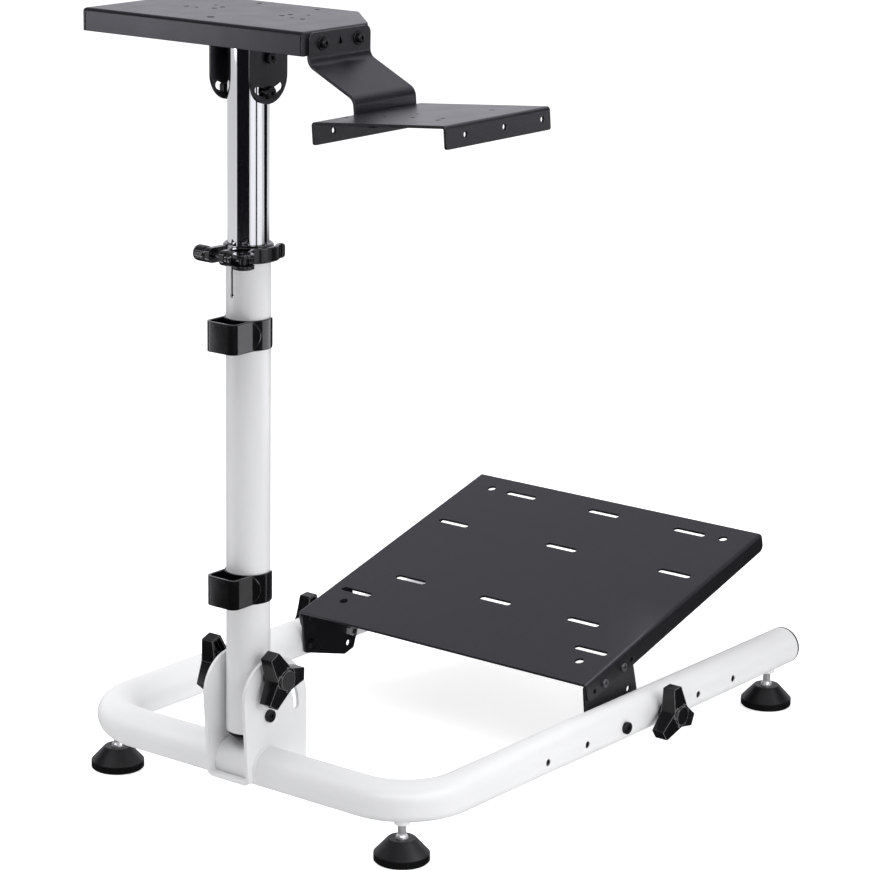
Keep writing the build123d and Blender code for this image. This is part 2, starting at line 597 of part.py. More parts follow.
def shifter_bracket():
    x = WHEEL_HALF_W + SHIFT_T / 2
    low_z = plate_edge_z - PLATE_FLANGE + PLATE_BELOW_BRACKET
    lean = math.tan(math.radians(SHIFT_ROLL))
    path = FilletPolyline(
        (x, 0, WHEEL_TOP_Z - SHIFT_TOP_DROP), (x, 0, WHEEL_TOP_Z - SHIFT_KNEE_DROP),
        (x + SHIFT_OUT, 0, shift_low_z), (x + SHIFT_OUT + (shift_low_z - low_z) * lean, 0, low_z),
        radius=SHIFT_BEND_R)
    start = Plane(origin=path @ 0, x_dir=(0, 1, 0), z_dir=path % 0)
    sheet = sweep(start * Rectangle(SHIFT_BRACKET_W, SHIFT_T), path=path)
    sheet = Pos(0, SHIFT_BRACKET_Y, 0) * sheet
    sheet = fillet(sheet.edges().filter_by(Axis.X).group_by(Axis.Z)[-1], SHIFT_CORNER_R)
    for y in shifter_bolt_rows():
        sheet -= rod_x(WHEEL_HALF_W - CUT, WHEEL_HALF_W + SHIFT_T + CUT, y, shift_bolt_z, M6 + 2 * FIT)
    mark = make_face(Polyline(
        (-MARK_W / 2, -MARK_BELOW), (MARK_W / 2, -MARK_BELOW), (0, MARK_ABOVE), close=True))
    mark = Plane.YZ * (Pos(SHIFT_BRACKET_Y, shift_bolt_z) * mark)
    sheet -= Pos(WHEEL_HALF_W - CUT, 0, 0) * extrude(mark, SHIFT_T + 2 * CUT)
    for row in plate_hole_rows()[1:]:
        sheet -= shifter_frame() * rod_x(-3 * SHIFT_T, SHIFT_T, row, -PLATE_HOLE_DROP, M6 + 2 * FIT)
    return sheet


def shifter_plate():
    block = Box(PLATE_W, PLATE_L, PLATE_FLANGE, align=(Align.MIN, Align.MIN, Align.MAX))
    block = fillet(block.edges().filter_by(Axis.Y).group_by(Axis.Z)[-1], PLATE_BEND_R)
    block = fillet(block.edges().filter_by(Axis.X).group_by(Axis.Z)[0], PLATE_CORNER_R)
    room = Box(PLATE_W - 2 * SHIFT_T, 2 * PLATE_L, PLATE_FLANGE, align=(Align.CENTER, Align.CENTER, Align.MAX))
    room = fillet(room.edges().filter_by(Axis.Y).group_by(Axis.Z)[-1], PLATE_BEND_R - SHIFT_T)
    plate = block - Pos(PLATE_W / 2, PLATE_L / 2, -SHIFT_T) * room
    for row in plate_hole_rows():
        plate -= rod_x(-CUT, PLATE_W + CUT, row, -PLATE_HOLE_DROP, PLATE_HOLE_D)
    for x, y in PLATE_TOP_HOLES:
        plate -= Pos(x, y, 0) * Cylinder(PLATE_TOP_HOLE_D / 2, 4 * SHIFT_T)
    for x, y in PLATE_SMALL_HOLES:
        plate -= Pos(x, y, 0) * Cylinder(PLATE_SMALL_D / 2, 4 * SHIFT_T)
    return shifter_frame() * plate


def shifter_bolt(row):
    seat = WHEEL_HALF_W + SHIFT_T
    nut_seat = WHEEL_HALF_W - WHEEL_T
    return bolt_x(seat, nut_seat, row, shift_bolt_z, M6, M6_HEAD_D, M6_HEAD_H, M6_NUT, M6_NUT_H)


def shifter_plate_bolt(row):
    bolt = bolt_x(SHIFT_T, -SHIFT_T, row, -PLATE_HOLE_DROP, M6, M6_HEAD_D, M6_HEAD_H, M6_NUT, M6_NUT_H)
    return shifter_frame() * bolt


def pedal_frame():
    """Placement of the pedal plate: middle of its lower edge, tilted up towards the front."""
    return Pos(0, pedal_front_y, pedal_front_z) * Rot(X=PEDAL_TILT)


def pedal_slots():
    """Places of the slots in the plate's own directions."""
    rows = [(PEDAL_L - down, places) for down, places in PEDAL_UPPER_ROWS] + PEDAL_LOWER_ROWS
    return [(x, row) for row, places in rows for x in places]


def pedal_plate():
    side = make_face(Polyline(
        (0, 0), (PEDAL_L, 0), (PEDAL_L, -PEDAL_FLANGE_REAR), (0, -PEDAL_FLANGE_FRONT), close=True))
    low = side.vertices().sort_by(Axis.Y)[:2]
    side = fillet(low, PEDAL_CORNER_R)
    block = Pos(-pedal_half_w, 0, 0) * extrude(Plane.YZ * side, 2 * pedal_half_w)
    block = fillet(block.edges().filter_by(Axis.Y).group_by(Axis.Z)[-1], PEDAL_BEND_R)
    room = Box(2 * hanger_outer_x, 3 * PEDAL_L, PEDAL_L, align=(Align.CENTER, Align.CENTER, Align.MAX))
    room = fillet(room.edges().filter_by(Axis.Y).group_by(Axis.Z)[-1], PEDAL_BEND_R - PEDAL_T)
    plate = block - Pos(0, 0, -PEDAL_T) * room
    for x, row in pedal_slots():
        slot = Pos(x, row) * SlotOverall(PEDAL_SLOT_L, PEDAL_SLOT_W)
        plate -= Pos(0, 0, -2 * PEDAL_T) * extrude(slot, 4 * PEDAL_T)
    for hand in (-1, 1):
        for row in (PEDAL_L - PEDAL_HOLE_UPPER, PEDAL_HOLE_LOWER):
            plate -= Pos(hand * PEDAL_HOLE_X, row, 0) * Cylinder(PEDAL_HOLE_D / 2, 4 * PEDAL_T)
        for row in HANGER_SCREWS + FLANGE_SPARE_HOLES:
            plate -= rod_x(hand * (hanger_outer_x - CUT), hand * (pedal_half_w + CUT), row, -HANGER_SCREW_DROP,
                           FLANGE_HOLE_D)
    return pedal_frame() * plate


def pedal_point(row, drop):
    """(Y, Z) of a point given in the pedal plate's own directions."""
    tilt = math.radians(PEDAL_TILT)
    y = pedal_front_y + row * math.cos(tilt) + drop * math.sin(tilt)
    return (y, pedal_front_z + row * math.sin(tilt) - drop * math.cos(tilt))


def pedal_hanger():
    """Right hanger: a plate screwed inside the flange, with three holes on an arc about its pivot."""
    top = PEDAL_T + HANGER_TOP_GAP
    low_front = (pedal_pivot_y + HANGER_LOW_FRONT[0], BASE_AXIS_Z + HANGER_LOW_FRONT[1])
    low_rear = (pedal_lock_y + HANGER_LOW_REAR[0], BASE_AXIS_Z + HANGER_LOW_REAR[1])
    cut_corner = (pedal_lock_y + HANGER_CHAMFER[0], BASE_AXIS_Z + HANGER_CHAMFER[1])
    points = [pedal_point(HANGER_FRONT, top), low_front, low_rear, cut_corner,
              pedal_point(HANGER_REAR, HANGER_REAR_DROP), pedal_point(HANGER_REAR, top)]
    outline = fillet(make_face(Polyline(*points, close=True)).vertices(), HANGER_CORNER_R)
    plate = Pos(hanger_x, 0, 0) * extrude(Plane.YZ * outline, HANGER_T)
    plate -= rod_x(hanger_x - CUT, hanger_outer_x + CUT, pedal_pivot_y, BASE_AXIS_Z, M8 + 2 * FIT)
    for angle in (-HANGER_ANGLE, 0, HANGER_ANGLE):
        turn = math.radians(angle)
        y = pedal_pivot_y + LEG_HOLE_PITCH * math.cos(turn)
        z = BASE_AXIS_Z + LEG_HOLE_PITCH * math.sin(turn)
        plate -= rod_x(hanger_x - CUT, hanger_outer_x + CUT, y, z, HANGER_HOLE_D)
    for row in HANGER_SCREWS + FLANGE_SPARE_HOLES[:1]:
        y, z = pedal_point(row, HANGER_SCREW_DROP)
        plate -= rod_x(hanger_x - CUT, hanger_outer_x + CUT, y, z, FLANGE_HOLE_D)
    return plate


def hanger_screw(row):
    y, z = pedal_point(row, HANGER_SCREW_DROP)
    size = FLANGE_HOLE_D - 2 * FIT
    return bolt_x(pedal_half_w, hanger_x, y, z, size, M6_HEAD_D, HANGER_SCREW_HEAD_H, M6_NUT, M6_NUT_H)


def pedal_pivot_bolt():
    bolt = bolt_x(leg_outer_x, hanger_x, pedal_pivot_y, BASE_AXIS_Z, M8, M8_HEAD_D, M8_HEAD_H, M8_NUT, M8_NUT_H)
    return bolt + rod_x(hanger_outer_x, leg_inner_x, pedal_pivot_y, BASE_AXIS_Z, 2 * M8)


def knob():
    """Knob along +Z: the seat of its boss at 0, the hub's face at KNOB_H."""
    arm = make_face(Polyline(
        (0, -KNOB_ARM_ROOT / 2), (KNOB_R, -KNOB_ARM_TIP / 2), (KNOB_R, KNOB_ARM_TIP / 2), (0, KNOB_ARM_ROOT / 2),
        close=True))
    arm_top = KNOB_H - KNOB_HUB_RISE
    slope = Plane.XZ * make_face(Polyline(
        (0, KNOB_BACK), (2 * KNOB_R, KNOB_BACK), (2 * KNOB_R, arm_top - 2 * KNOB_TIP_DROP), (0, arm_top), close=True))
    slope = extrude(slope, KNOB_ARM_ROOT / 2, both=True)
    plan = arm + Rot(Z=120) * arm + Rot(Z=240) * arm
    plan = fillet(plan.vertices(), KNOB_CORNER_R)
    prism = Pos(0, 0, KNOB_BACK) * extrude(plan, KNOB_H)
    body = prism & (slope + Rot(Z=120) * slope + Rot(Z=240) * slope)
    body += Pos(0, 0, KNOB_BACK) * extrude(Circle(KNOB_HUB_R), KNOB_H - KNOB_BACK)
    pocket = offset(plan, -KNOB_WALL) - Circle(KNOB_BOSS_D / 2)
    body -= Pos(0, 0, KNOB_BACK - CUT) * extrude(pocket, KNOB_POCKET + CUT)
    return body + extrude(Circle(KNOB_BOSS_D / 2), KNOB_BACK + KNOB_POCKET)


def knob_right(x, y, z, turn, screw_end):
    body = Pos(x, y, z) * Rot(Y=90) * Rot(Z=90 + turn) * knob()
    return body + rod_x(screw_end, x + CUT, y, z, M8)


def bracket_knob(turn):
    return knob_right(bracket_x + GAP, COLUMN_Y, lock_z, turn, column_bore_r - KNOB_SCREW_IN)


def pedal_knob():
    screw_end = hanger_x - M8_NUT_H - SCREW_END
    return knob_right(leg_outer_x + GAP, pedal_lock_y, BASE_AXIS_Z, PEDAL_KNOB_ANGLE, screw_end)


def spacer():
    sleeve = rod_x(hanger_outer_x, leg_inner_x, pedal_lock_y, BASE_AXIS_Z, 2 * M8)
    return sleeve - rod_x(hanger_x, leg_x, pedal_lock_y, BASE_AXIS_Z, M8 + 2 * FIT)


def hanger_nut():
    nut = hex_x(hanger_x - M8_NUT_H, hanger_x, pedal_lock_y, BASE_AXIS_Z, M8_NUT)
    return nut - rod_x(hanger_x - 2 * M8_NUT_H, hanger_x + CUT, pedal_lock_y, BASE_AXIS_Z, M8 + 2 * FIT)


def left(shape):
    return mirror(shape, about=Plane.YZ)


nodes = {"base_tube": base_tube(), "end_plug_right": end_plug(1), "end_plug_left": end_plug(-1)}
for place, (foot_x, foot_y) in foot_points().items():
    nodes["foot_pad_" + place] = foot_pad(foot_x, foot_y)
    nodes["foot_stud_" + place] = foot_stud(foot_x, foot_y)
nodes["column_bracket"] = column_bracket()
nodes["column_pivot_bolt"] = column_pivot_bolt()
nodes["column_tube"] = column_tube()
nodes["column_plug"] = column_plug()
nodes["clamp_collar"] = clamp_collar()
nodes["clamp_skewer"] = clamp_skewer()
nodes["clamp_lever"] = clamp_lever()
for place, drop in CLIP_DROPS.items():
    nodes["cable_clip_" + place] = cable_clip(column_top - drop)
nodes["mast_tube"] = mast_tube()
nodes["tilt_pivot_bolt"] = tilt_bolt(tilt_z)
nodes["tilt_lock_bolt"] = tilt_bolt(tilt_lock_z)
nodes["tilt_yoke"] = tilt_yoke()
nodes["wheel_plate"] = wheel_plate()
nodes["shifter_bracket"] = shifter_bracket()
nodes["shifter_plate"] = shifter_plate()
for name, bolt_y in zip(("front", "rear"), shifter_bolt_rows()):
    nodes["shifter_bolt_" + name] = shifter_bolt(bolt_y)
for name, bolt_y in zip(("front", "rear"), plate_hole_rows()[1:]):
    nodes["shifter_plate_bolt_" + name] = shifter_plate_bolt(bolt_y)
nodes["pedal_plate"] = pedal_plate()
right_side = {
    "pedal_hanger": pedal_hanger(),
    "hanger_screw_front": hanger_screw(HANGER_SCREWS[0]),
    "hanger_screw_rear": hanger_screw(HANGER_SCREWS[1]),
    "pedal_pivot_bolt": pedal_pivot_bolt(),
    "pedal_spacer": spacer(),
    "pedal_nut": hanger_nut(),
    "pedal_knob": pedal_knob(),
}
for name, shape in right_side.items():
    nodes[name + "_right"] = shape
    nodes[name + "_left"] = left(shape)
nodes["bracket_knob_right"] = bracket_knob(BRACKET_KNOB_ANGLES["right"])
nodes["bracket_knob_left"] = left(bracket_knob(BRACKET_KNOB_ANGLES["left"]))

for name, shape in nodes.items():
    export_step(shape, "parts/" + name + ".step")
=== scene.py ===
import math

import bpy
from mathutils import Matrix, Vector


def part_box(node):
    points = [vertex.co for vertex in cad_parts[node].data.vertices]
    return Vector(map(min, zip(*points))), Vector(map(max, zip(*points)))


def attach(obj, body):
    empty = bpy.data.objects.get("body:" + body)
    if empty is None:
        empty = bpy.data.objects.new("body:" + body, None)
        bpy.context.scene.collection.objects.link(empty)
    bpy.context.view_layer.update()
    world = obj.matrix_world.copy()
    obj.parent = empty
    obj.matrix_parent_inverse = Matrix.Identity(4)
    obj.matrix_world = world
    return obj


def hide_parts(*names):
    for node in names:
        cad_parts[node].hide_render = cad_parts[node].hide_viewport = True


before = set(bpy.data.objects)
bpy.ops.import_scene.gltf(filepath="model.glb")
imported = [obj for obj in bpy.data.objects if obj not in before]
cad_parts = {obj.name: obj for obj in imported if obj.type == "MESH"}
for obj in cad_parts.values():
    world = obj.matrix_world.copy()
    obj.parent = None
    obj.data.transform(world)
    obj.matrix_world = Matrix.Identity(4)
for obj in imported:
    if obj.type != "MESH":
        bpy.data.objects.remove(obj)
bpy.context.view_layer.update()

# Camera: the stand is seen from its front right corner, a little from above, with a long lens. The
# frame is square and the lens is shifted, because the view is a crop of a wider one.
FRAME_PIXELS = 870
SENSOR_WIDTH = 36
VIEW_DEPTH = 50
FOCAL_PIXELS = 3200.79
CENTRE_PIXEL = (372.40, 420.61)
CAMERA_AT = (2.29819, -2.64076, 1.36813)
turn = math.radians(38.71)
tip = math.radians(14.27)
roll = math.radians(0.57)
back = Vector((math.sin(turn) * math.cos(tip), -math.cos(turn) * math.cos(tip), math.sin(tip)))
level = Vector((math.cos(turn), math.sin(turn), 0))
upright = back.cross(level)
camera_right = level * math.cos(roll) + upright * math.sin(roll)
camera_up = upright * math.cos(roll) - level * math.sin(roll)
lens = bpy.data.cameras.new("stand_camera")
lens.sensor_width = SENSOR_WIDTH
lens.lens = FOCAL_PIXELS / FRAME_PIXELS * SENSOR_WIDTH
lens.shift_x = 0.5 - CENTRE_PIXEL[0] / FRAME_PIXELS
lens.shift_y = CENTRE_PIXEL[1] / FRAME_PIXELS - 0.5
lens.clip_end = VIEW_DEPTH
camera = bpy.data.objects.new("stand_camera", lens)
place = Matrix((camera_right, camera_up, back)).transposed().to_4x4()
place.translation = Vector(CAMERA_AT)
camera.matrix_world = place
bpy.context.scene.collection.objects.link(camera)
bpy.context.scene.camera = camera
bpy.context.scene.view_settings.view_transform = "Standard"


# Studio: a white room whose soft light comes from all sides, least from the photographer's. The camera
# sees it at full white. Shiny surfaces see dark walls, a white backdrop low behind the stand and a
# ceiling that is brighter on the right.
ROOM_LIGHT = 0.54
FRONT_LIGHT = 0.29
FRONT_EDGE = (-0.7, 0.1)
MIRRORED_TINT = (0.93, 0.93, 1.0, 1)
WALL_LIGHT = 0.05
RIGHT_EDGE = (0.15, 0.45)
BACKDROP_EDGE = (0.35, 0.75)
BACKDROP_FADE = (0.30, 0.60)
BACKDROP_TOP = 0.52
CEILING_EDGE = (0.40, 0.68)
CEILING_LEFT = 0.22
CEILING_RIGHT = 0.75
world = bpy.data.worlds.new("white_room")
bpy.context.scene.world = world
world.use_nodes = True
room = world.node_tree.nodes["Background"]


def step_between(tree, value, low, high, at_low, at_high):
    """Value carried smoothly from one range to another."""
    node = tree.nodes.new("ShaderNodeMapRange")
    node.interpolation_type = "SMOOTHSTEP"
    tree.links.new(value, node.inputs["Value"])
    for label, number in (("From Min", low), ("From Max", high), ("To Min", at_low), ("To Max", at_high)):
        node.inputs[label].default_value = number
    return node.outputs["Result"]


def larger(tree, first, second):
    """The larger of two values."""
    node = tree.nodes.new("ShaderNodeMath")
    node.operation = "MAXIMUM"
    tree.links.new(first, node.inputs[0])
    tree.links.new(second, node.inputs[1])
    return node.outputs[0]


def choose(tree, mask, when_off, when_on):
    """One of two values, by a mask; a plain number may stand for either."""
    node = tree.nodes.new("ShaderNodeMix")
    tree.links.new(mask, node.inputs["Factor"])
    for label, value in (("A", when_off), ("B", when_on)):
        if isinstance(value, float):
            node.inputs[label].default_value = value
        else:
            tree.links.new(value, node.inputs[label])
    return node.outputs["Result"]


def product(tree, *values):
    """All the values multiplied."""
    total = values[0]
    for value in values[1:]:
        node = tree.nodes.new("ShaderNodeMath")
        node.operation = "MULTIPLY"
        tree.links.new(total, node.inputs[0])
        tree.links.new(value, node.inputs[1])
        total = node.outputs[0]
    return total


def share_along(tree, direction, axis):
    """How far a direction points along an axis."""
    node = tree.nodes.new("ShaderNodeVectorMath")
    node.operation = "DOT_PRODUCT"
    node.inputs[1].default_value = axis
    tree.links.new(direction, node.inputs[0])
    return node.outputs["Value"]


room_tree = world.node_tree
heading = room_tree.nodes.new("ShaderNodeTexCoord").outputs["Generated"]
behind = share_along(room_tree, heading, (-math.sin(turn), math.cos(turn), 0))
aside = share_along(room_tree, heading, level)
above = share_along(room_tree, heading, (0, 0, 1))
on_right = step_between(room_tree, aside, *RIGHT_EDGE, 0.0, 1.0)
fade = step_between(room_tree, above, *BACKDROP_FADE, 1.0, BACKDROP_TOP)
backdrop = step_between(room_tree, behind, *BACKDROP_EDGE, WALL_LIGHT, 1.0)
backdrop = product(room_tree, backdrop, choose(room_tree, on_right, fade, 1.0))
ceiling = step_between(room_tree, above, *CEILING_EDGE, WALL_LIGHT, 1.0)
ceiling = product(room_tree, ceiling, choose(room_tree, on_right, CEILING_LEFT, CEILING_RIGHT))
path = room_tree.nodes.new("ShaderNodeLightPath")
mirror_ray = larger(room_tree, path.outputs["Is Glossy Ray"], path.outputs["Is Transmission Ray"])
ambient = step_between(room_tree, behind, *FRONT_EDGE, FRONT_LIGHT, ROOM_LIGHT)
mirrored = choose(room_tree, mirror_ray, ambient, larger(room_tree, backdrop, ceiling))
room_tint = room_tree.nodes.new("ShaderNodeMix")
room_tint.data_type = "RGBA"
room_tint.inputs[6].default_value = (1, 1, 1, 1)
room_tint.inputs[7].default_value = MIRRORED_TINT
room_tree.links.new(mirror_ray, room_tint.inputs["Factor"])
room_tree.links.new(room_tint.outputs[2], room.inputs["Color"])
room_tree.links.new(choose(room_tree, path.outputs["Is Camera Ray"], mirrored, 1.0), room.inputs["Strength"])


# Softboxes: a large one above, one on the right, one on the left and a weak narrow one low in front, all
# soft, so that the tubes shade gently and the shadows on the floor stay faint.
def softbox(name, at, towards, size, power, spread=180):
    """Soft lamp that faces a point and shows in no mirror."""
    lamp = bpy.data.lights.new(name, "AREA")
    lamp.shape = "RECTANGLE"
    lamp.size, lamp.size_y = size
    lamp.energy = power
    lamp.spread = math.radians(spread)
    box = bpy.data.objects.new(name, lamp)
    box.location = at
    box.rotation_euler = (Vector(towards) - Vector(at)).to_track_quat("-Z", "Y").to_euler()
    box.visible_glossy = False
    bpy.context.scene.collection.objects.link(box)


softbox("softbox_top", at=(-0.3, -0.2, 3.0), towards=(0, 0.2, 0.0), size=(2.4, 2.4), power=60)
softbox("softbox_right", at=(2.6, 0.3, 0.9), towards=(0.1, 0.35, 0.0), size=(1.4, 1.2), power=14.5)
softbox("softbox_left", at=(-2.33, -0.57, 0.9), towards=(-0.05, 0.1, 0.35), size=(1.4, 1.2), power=12)
softbox("softbox_low", at=(2.3, -0.7, 1.1), towards=(0.15, 0.05, 0.05), size=(0.8, 0.8), power=0.7, spread=40)


# Floor: a pale seamless sheet. It shows white and still darkens where the stand keeps the light off. It
# throws light up at the tubes, and mirrors see it dark out to the walls.
FLOOR_REACH = 14.0
FLOOR_DROP = 0.0005
FLOOR_GLOW = 0.72
FLOOR_ROUGH = 0.9
FLOOR_FILL_GLOW = 0.42
FILL_GLOW_MIDDLE = (0.05, 0.5, 0)
FILL_GLOW_REACH = (0.55, 1.00)
DARK_PATCH_MIDDLE = (0.1, -0.3, 0)
DARK_PATCH_REACH = (0.25, 0.60)
DARK_PATCH_PAPER = 0.62
PALE_PAPER = 0.84
MIRRORED_MIDDLE = (0, 0.35, 0)
MIRRORED_REACH = (3.0, 3.6)
MIRRORED_NEAR = 0.06
MIRRORED_FAR = 0.25
floor_mesh = bpy.data.meshes.new("floor")
corners = [(x * FLOOR_REACH, y * FLOOR_REACH, 0) for x, y in ((-1, -1), (1, -1), (1, 1), (-1, 1))]
floor_mesh.from_pydata(corners, [], [(0, 1, 2, 3)])
floor = bpy.data.objects.new("floor", floor_mesh)
floor.location.z = -FLOOR_DROP
bpy.context.scene.collection.objects.link(floor)
floor_paper = bpy.data.materials.new("floor_paper")
floor_paper.use_nodes = True
paper = floor_paper.node_tree.nodes["Principled BSDF"]
paper.inputs["Roughness"].default_value = FLOOR_ROUGH
paper.inputs["Specular IOR Level"].default_value = 0.0
paper.inputs["Emission Color"].default_value = (1, 1, 1, 1)
paper_tree = floor_paper.node_tree
path = paper_tree.nodes.new("ShaderNodeLightPath")
mirror_ray = larger(paper_tree, path.outputs["Is Glossy Ray"], path.outputs["Is Transmission Ray"])


def distance_from(tree, place):
    """Distance of the shaded point from a place."""
    node = tree.nodes.new("ShaderNodeVectorMath")
    node.operation = "DISTANCE"
    node.inputs[1].default_value = place
    tree.links.new(tree.nodes.new("ShaderNodeTexCoord").outputs["Object"], node.inputs[0])
    return node.outputs["Value"]


from_fill_glow = distance_from(paper_tree, FILL_GLOW_MIDDLE)
from_dark_patch = distance_from(paper_tree, DARK_PATCH_MIDDLE)
from_middle = distance_from(paper_tree, MIRRORED_MIDDLE)
# Near the stand the paper glows for diffuse rays only, a painted fill light standing in for the light it
# bounces up at the tubes.
fill_glow = step_between(paper_tree, from_fill_glow, *FILL_GLOW_REACH, FLOOR_FILL_GLOW, 0.0)
near = step_between(paper_tree, from_middle, *MIRRORED_REACH, 1.0, 0.0)
dark_stage = product(paper_tree, mirror_ray, near)
# In front of the stand the paper is painted darker, so that it sends less light up: painted shade for the
# undersides of the front tube and the inside of the bracket.
pale = step_between(paper_tree, from_dark_patch, *DARK_PATCH_REACH, DARK_PATCH_PAPER, PALE_PAPER)
paper_tree.links.new(choose(paper_tree, dark_stage, pale, MIRRORED_NEAR), paper.inputs["Base Color"])
mirrored = choose(paper_tree, mirror_ray, fill_glow, MIRRORED_FAR)
mirrored = choose(paper_tree, dark_stage, mirrored, 0.0)
glow = choose(paper_tree, path.outputs["Is Camera Ray"], mirrored, FLOOR_GLOW)
paper_tree.links.new(glow, paper.inputs["Emission Strength"])
floor_mesh.materials.append(floor_paper)


# Black flags, white strips and cards: boards round the set that only mirrors see. The tall ones give the
# chrome its dark and bright stripes, the small ones light the faces of the wheel plate and the clips.
BOARD_DISTANCE = 3.2
BOARD_FOOT = -0.4
BOARD_TOP = 2.6
ARC_STEPS = 12
FLAG_COLOUR = (0.008, 0.008, 0.010, 1)
SOFT_STRIP = 0.45
FAR_STRIP = 1.1


def board(name, cloth, ground, low, high):
    """Upright sheet along a line of points on the floor."""
    points = [(*spot, height) for spot in ground for height in (low, high)]
    faces = [(2 * i, 2 * i + 2, 2 * i + 3, 2 * i + 1) for i in range(len(ground) - 1)]
    mesh = bpy.data.meshes.new(name)
    mesh.from_pydata(points, [], faces)
    mesh.materials.append(cloth)
    card = bpy.data.objects.new(name, mesh)
    card.visible_camera = False
    card.visible_diffuse = False
    card.visible_shadow = False
    bpy.context.scene.collection.objects.link(card)


def arc(start, end, distance):
    """Points on a circle round the stand, by their bearing from the camera, to the right."""
    span = end - start
    angles = [turn + math.radians(start + span * index / ARC_STEPS) for index in range(ARC_STEPS + 1)]
    return [(distance * math.sin(angle), -distance * math.cos(angle)) for angle in angles]


def flag_material(name):
    """Black cloth without any shine."""
    cloth = bpy.data.materials.new(name)
    cloth.use_nodes = True
    shader = cloth.node_tree.nodes["Principled BSDF"]
    shader.inputs["Base Color"].default_value = FLAG_COLOUR
    shader.inputs["Specular IOR Level"].default_value = 0.0
    return cloth


def strip_cloth(name, strength):
    """Pale cloth that glows in mirrors."""
    cloth = bpy.data.materials.new(name)
    cloth.use_nodes = True
    shader = cloth.node_tree.nodes["Principled BSDF"]
    shader.inputs["Emission Color"].default_value = MIRRORED_TINT
    shader.inputs["Emission Strength"].default_value = strength
    return cloth


flag_cloth = flag_material("flag_cloth")
soft_strip = strip_cloth("soft_strip", SOFT_STRIP)
far_strip = strip_cloth("far_strip", FAR_STRIP)
for name, cloth, bearings, low, high in (
        ("flag_front", flag_cloth, (-62, 8), BOARD_FOOT, BOARD_TOP),
        ("strip_front", soft_strip, (15, 41), BOARD_FOOT, BOARD_TOP),
        ("flag_right", flag_cloth, (43, 50), BOARD_FOOT, BOARD_TOP),
        ("strip_right", soft_strip, (54, 78), BOARD_FOOT, BOARD_TOP),
        ("flag_far_right", flag_cloth, (96, 128), BOARD_FOOT, 0.62),
        ("strip_far_right", far_strip, (94, 116), 0.66, 1.05),
        ("flag_high_right", flag_cloth, (92, 128), 1.15, BOARD_TOP)):
    board(name, cloth, arc(*bearings, BOARD_DISTANCE), low, high)
for name, strength, ground, low, high in (
        ("softbox_camera", 6.0, arc(-40, 80, 2.2), 1.55, 2.15),
        ("card_wheel_front", 2.9, [(-0.80, -0.58), (-0.30, -0.58)], 0.80, 0.97),
        ("card_clip_upper_left", 2.4, [(-0.40, -0.20), (-0.147, -0.20)], 0.46, 0.58),
        ("card_clip_lower_left", 1.2, [(-0.40, -0.20), (-0.147, -0.20)], 0.16, 0.28),
        ("card_clip_upper_right", 1.9, arc(72, 130, 0.6), 0.28, 0.50),
        ("card_clip_lower_right", 0.3, [(0.47, 0.42), (0.47, 0.58)], 0.02, 0.15)):
    board(name, strip_cloth(name, strength), ground, low, high)


# Base tube: one steel tube bent to a U, drilled for the feet and the pedal plate. It is powder coated
# in a smooth semi-gloss white that shows a slight orange peel close up.
DRIFT_DETAIL = 4
DRIFT_RANGE = (0.3, 0.7)
GRAIN_DETAIL = 2
HIGHLIGHT_FACING = (0.98, 0.86)
EDGE_SAMPLES = 6
GRAIN_DEPTH = 0.0002
NOISE_MIDDLE = 0.5


def node_material(name):
    """New material with its node tree and its main shader."""
    material = bpy.data.materials.new(name)
    material.use_nodes = True
    return material, material.node_tree, material.node_tree.nodes["Principled BSDF"]


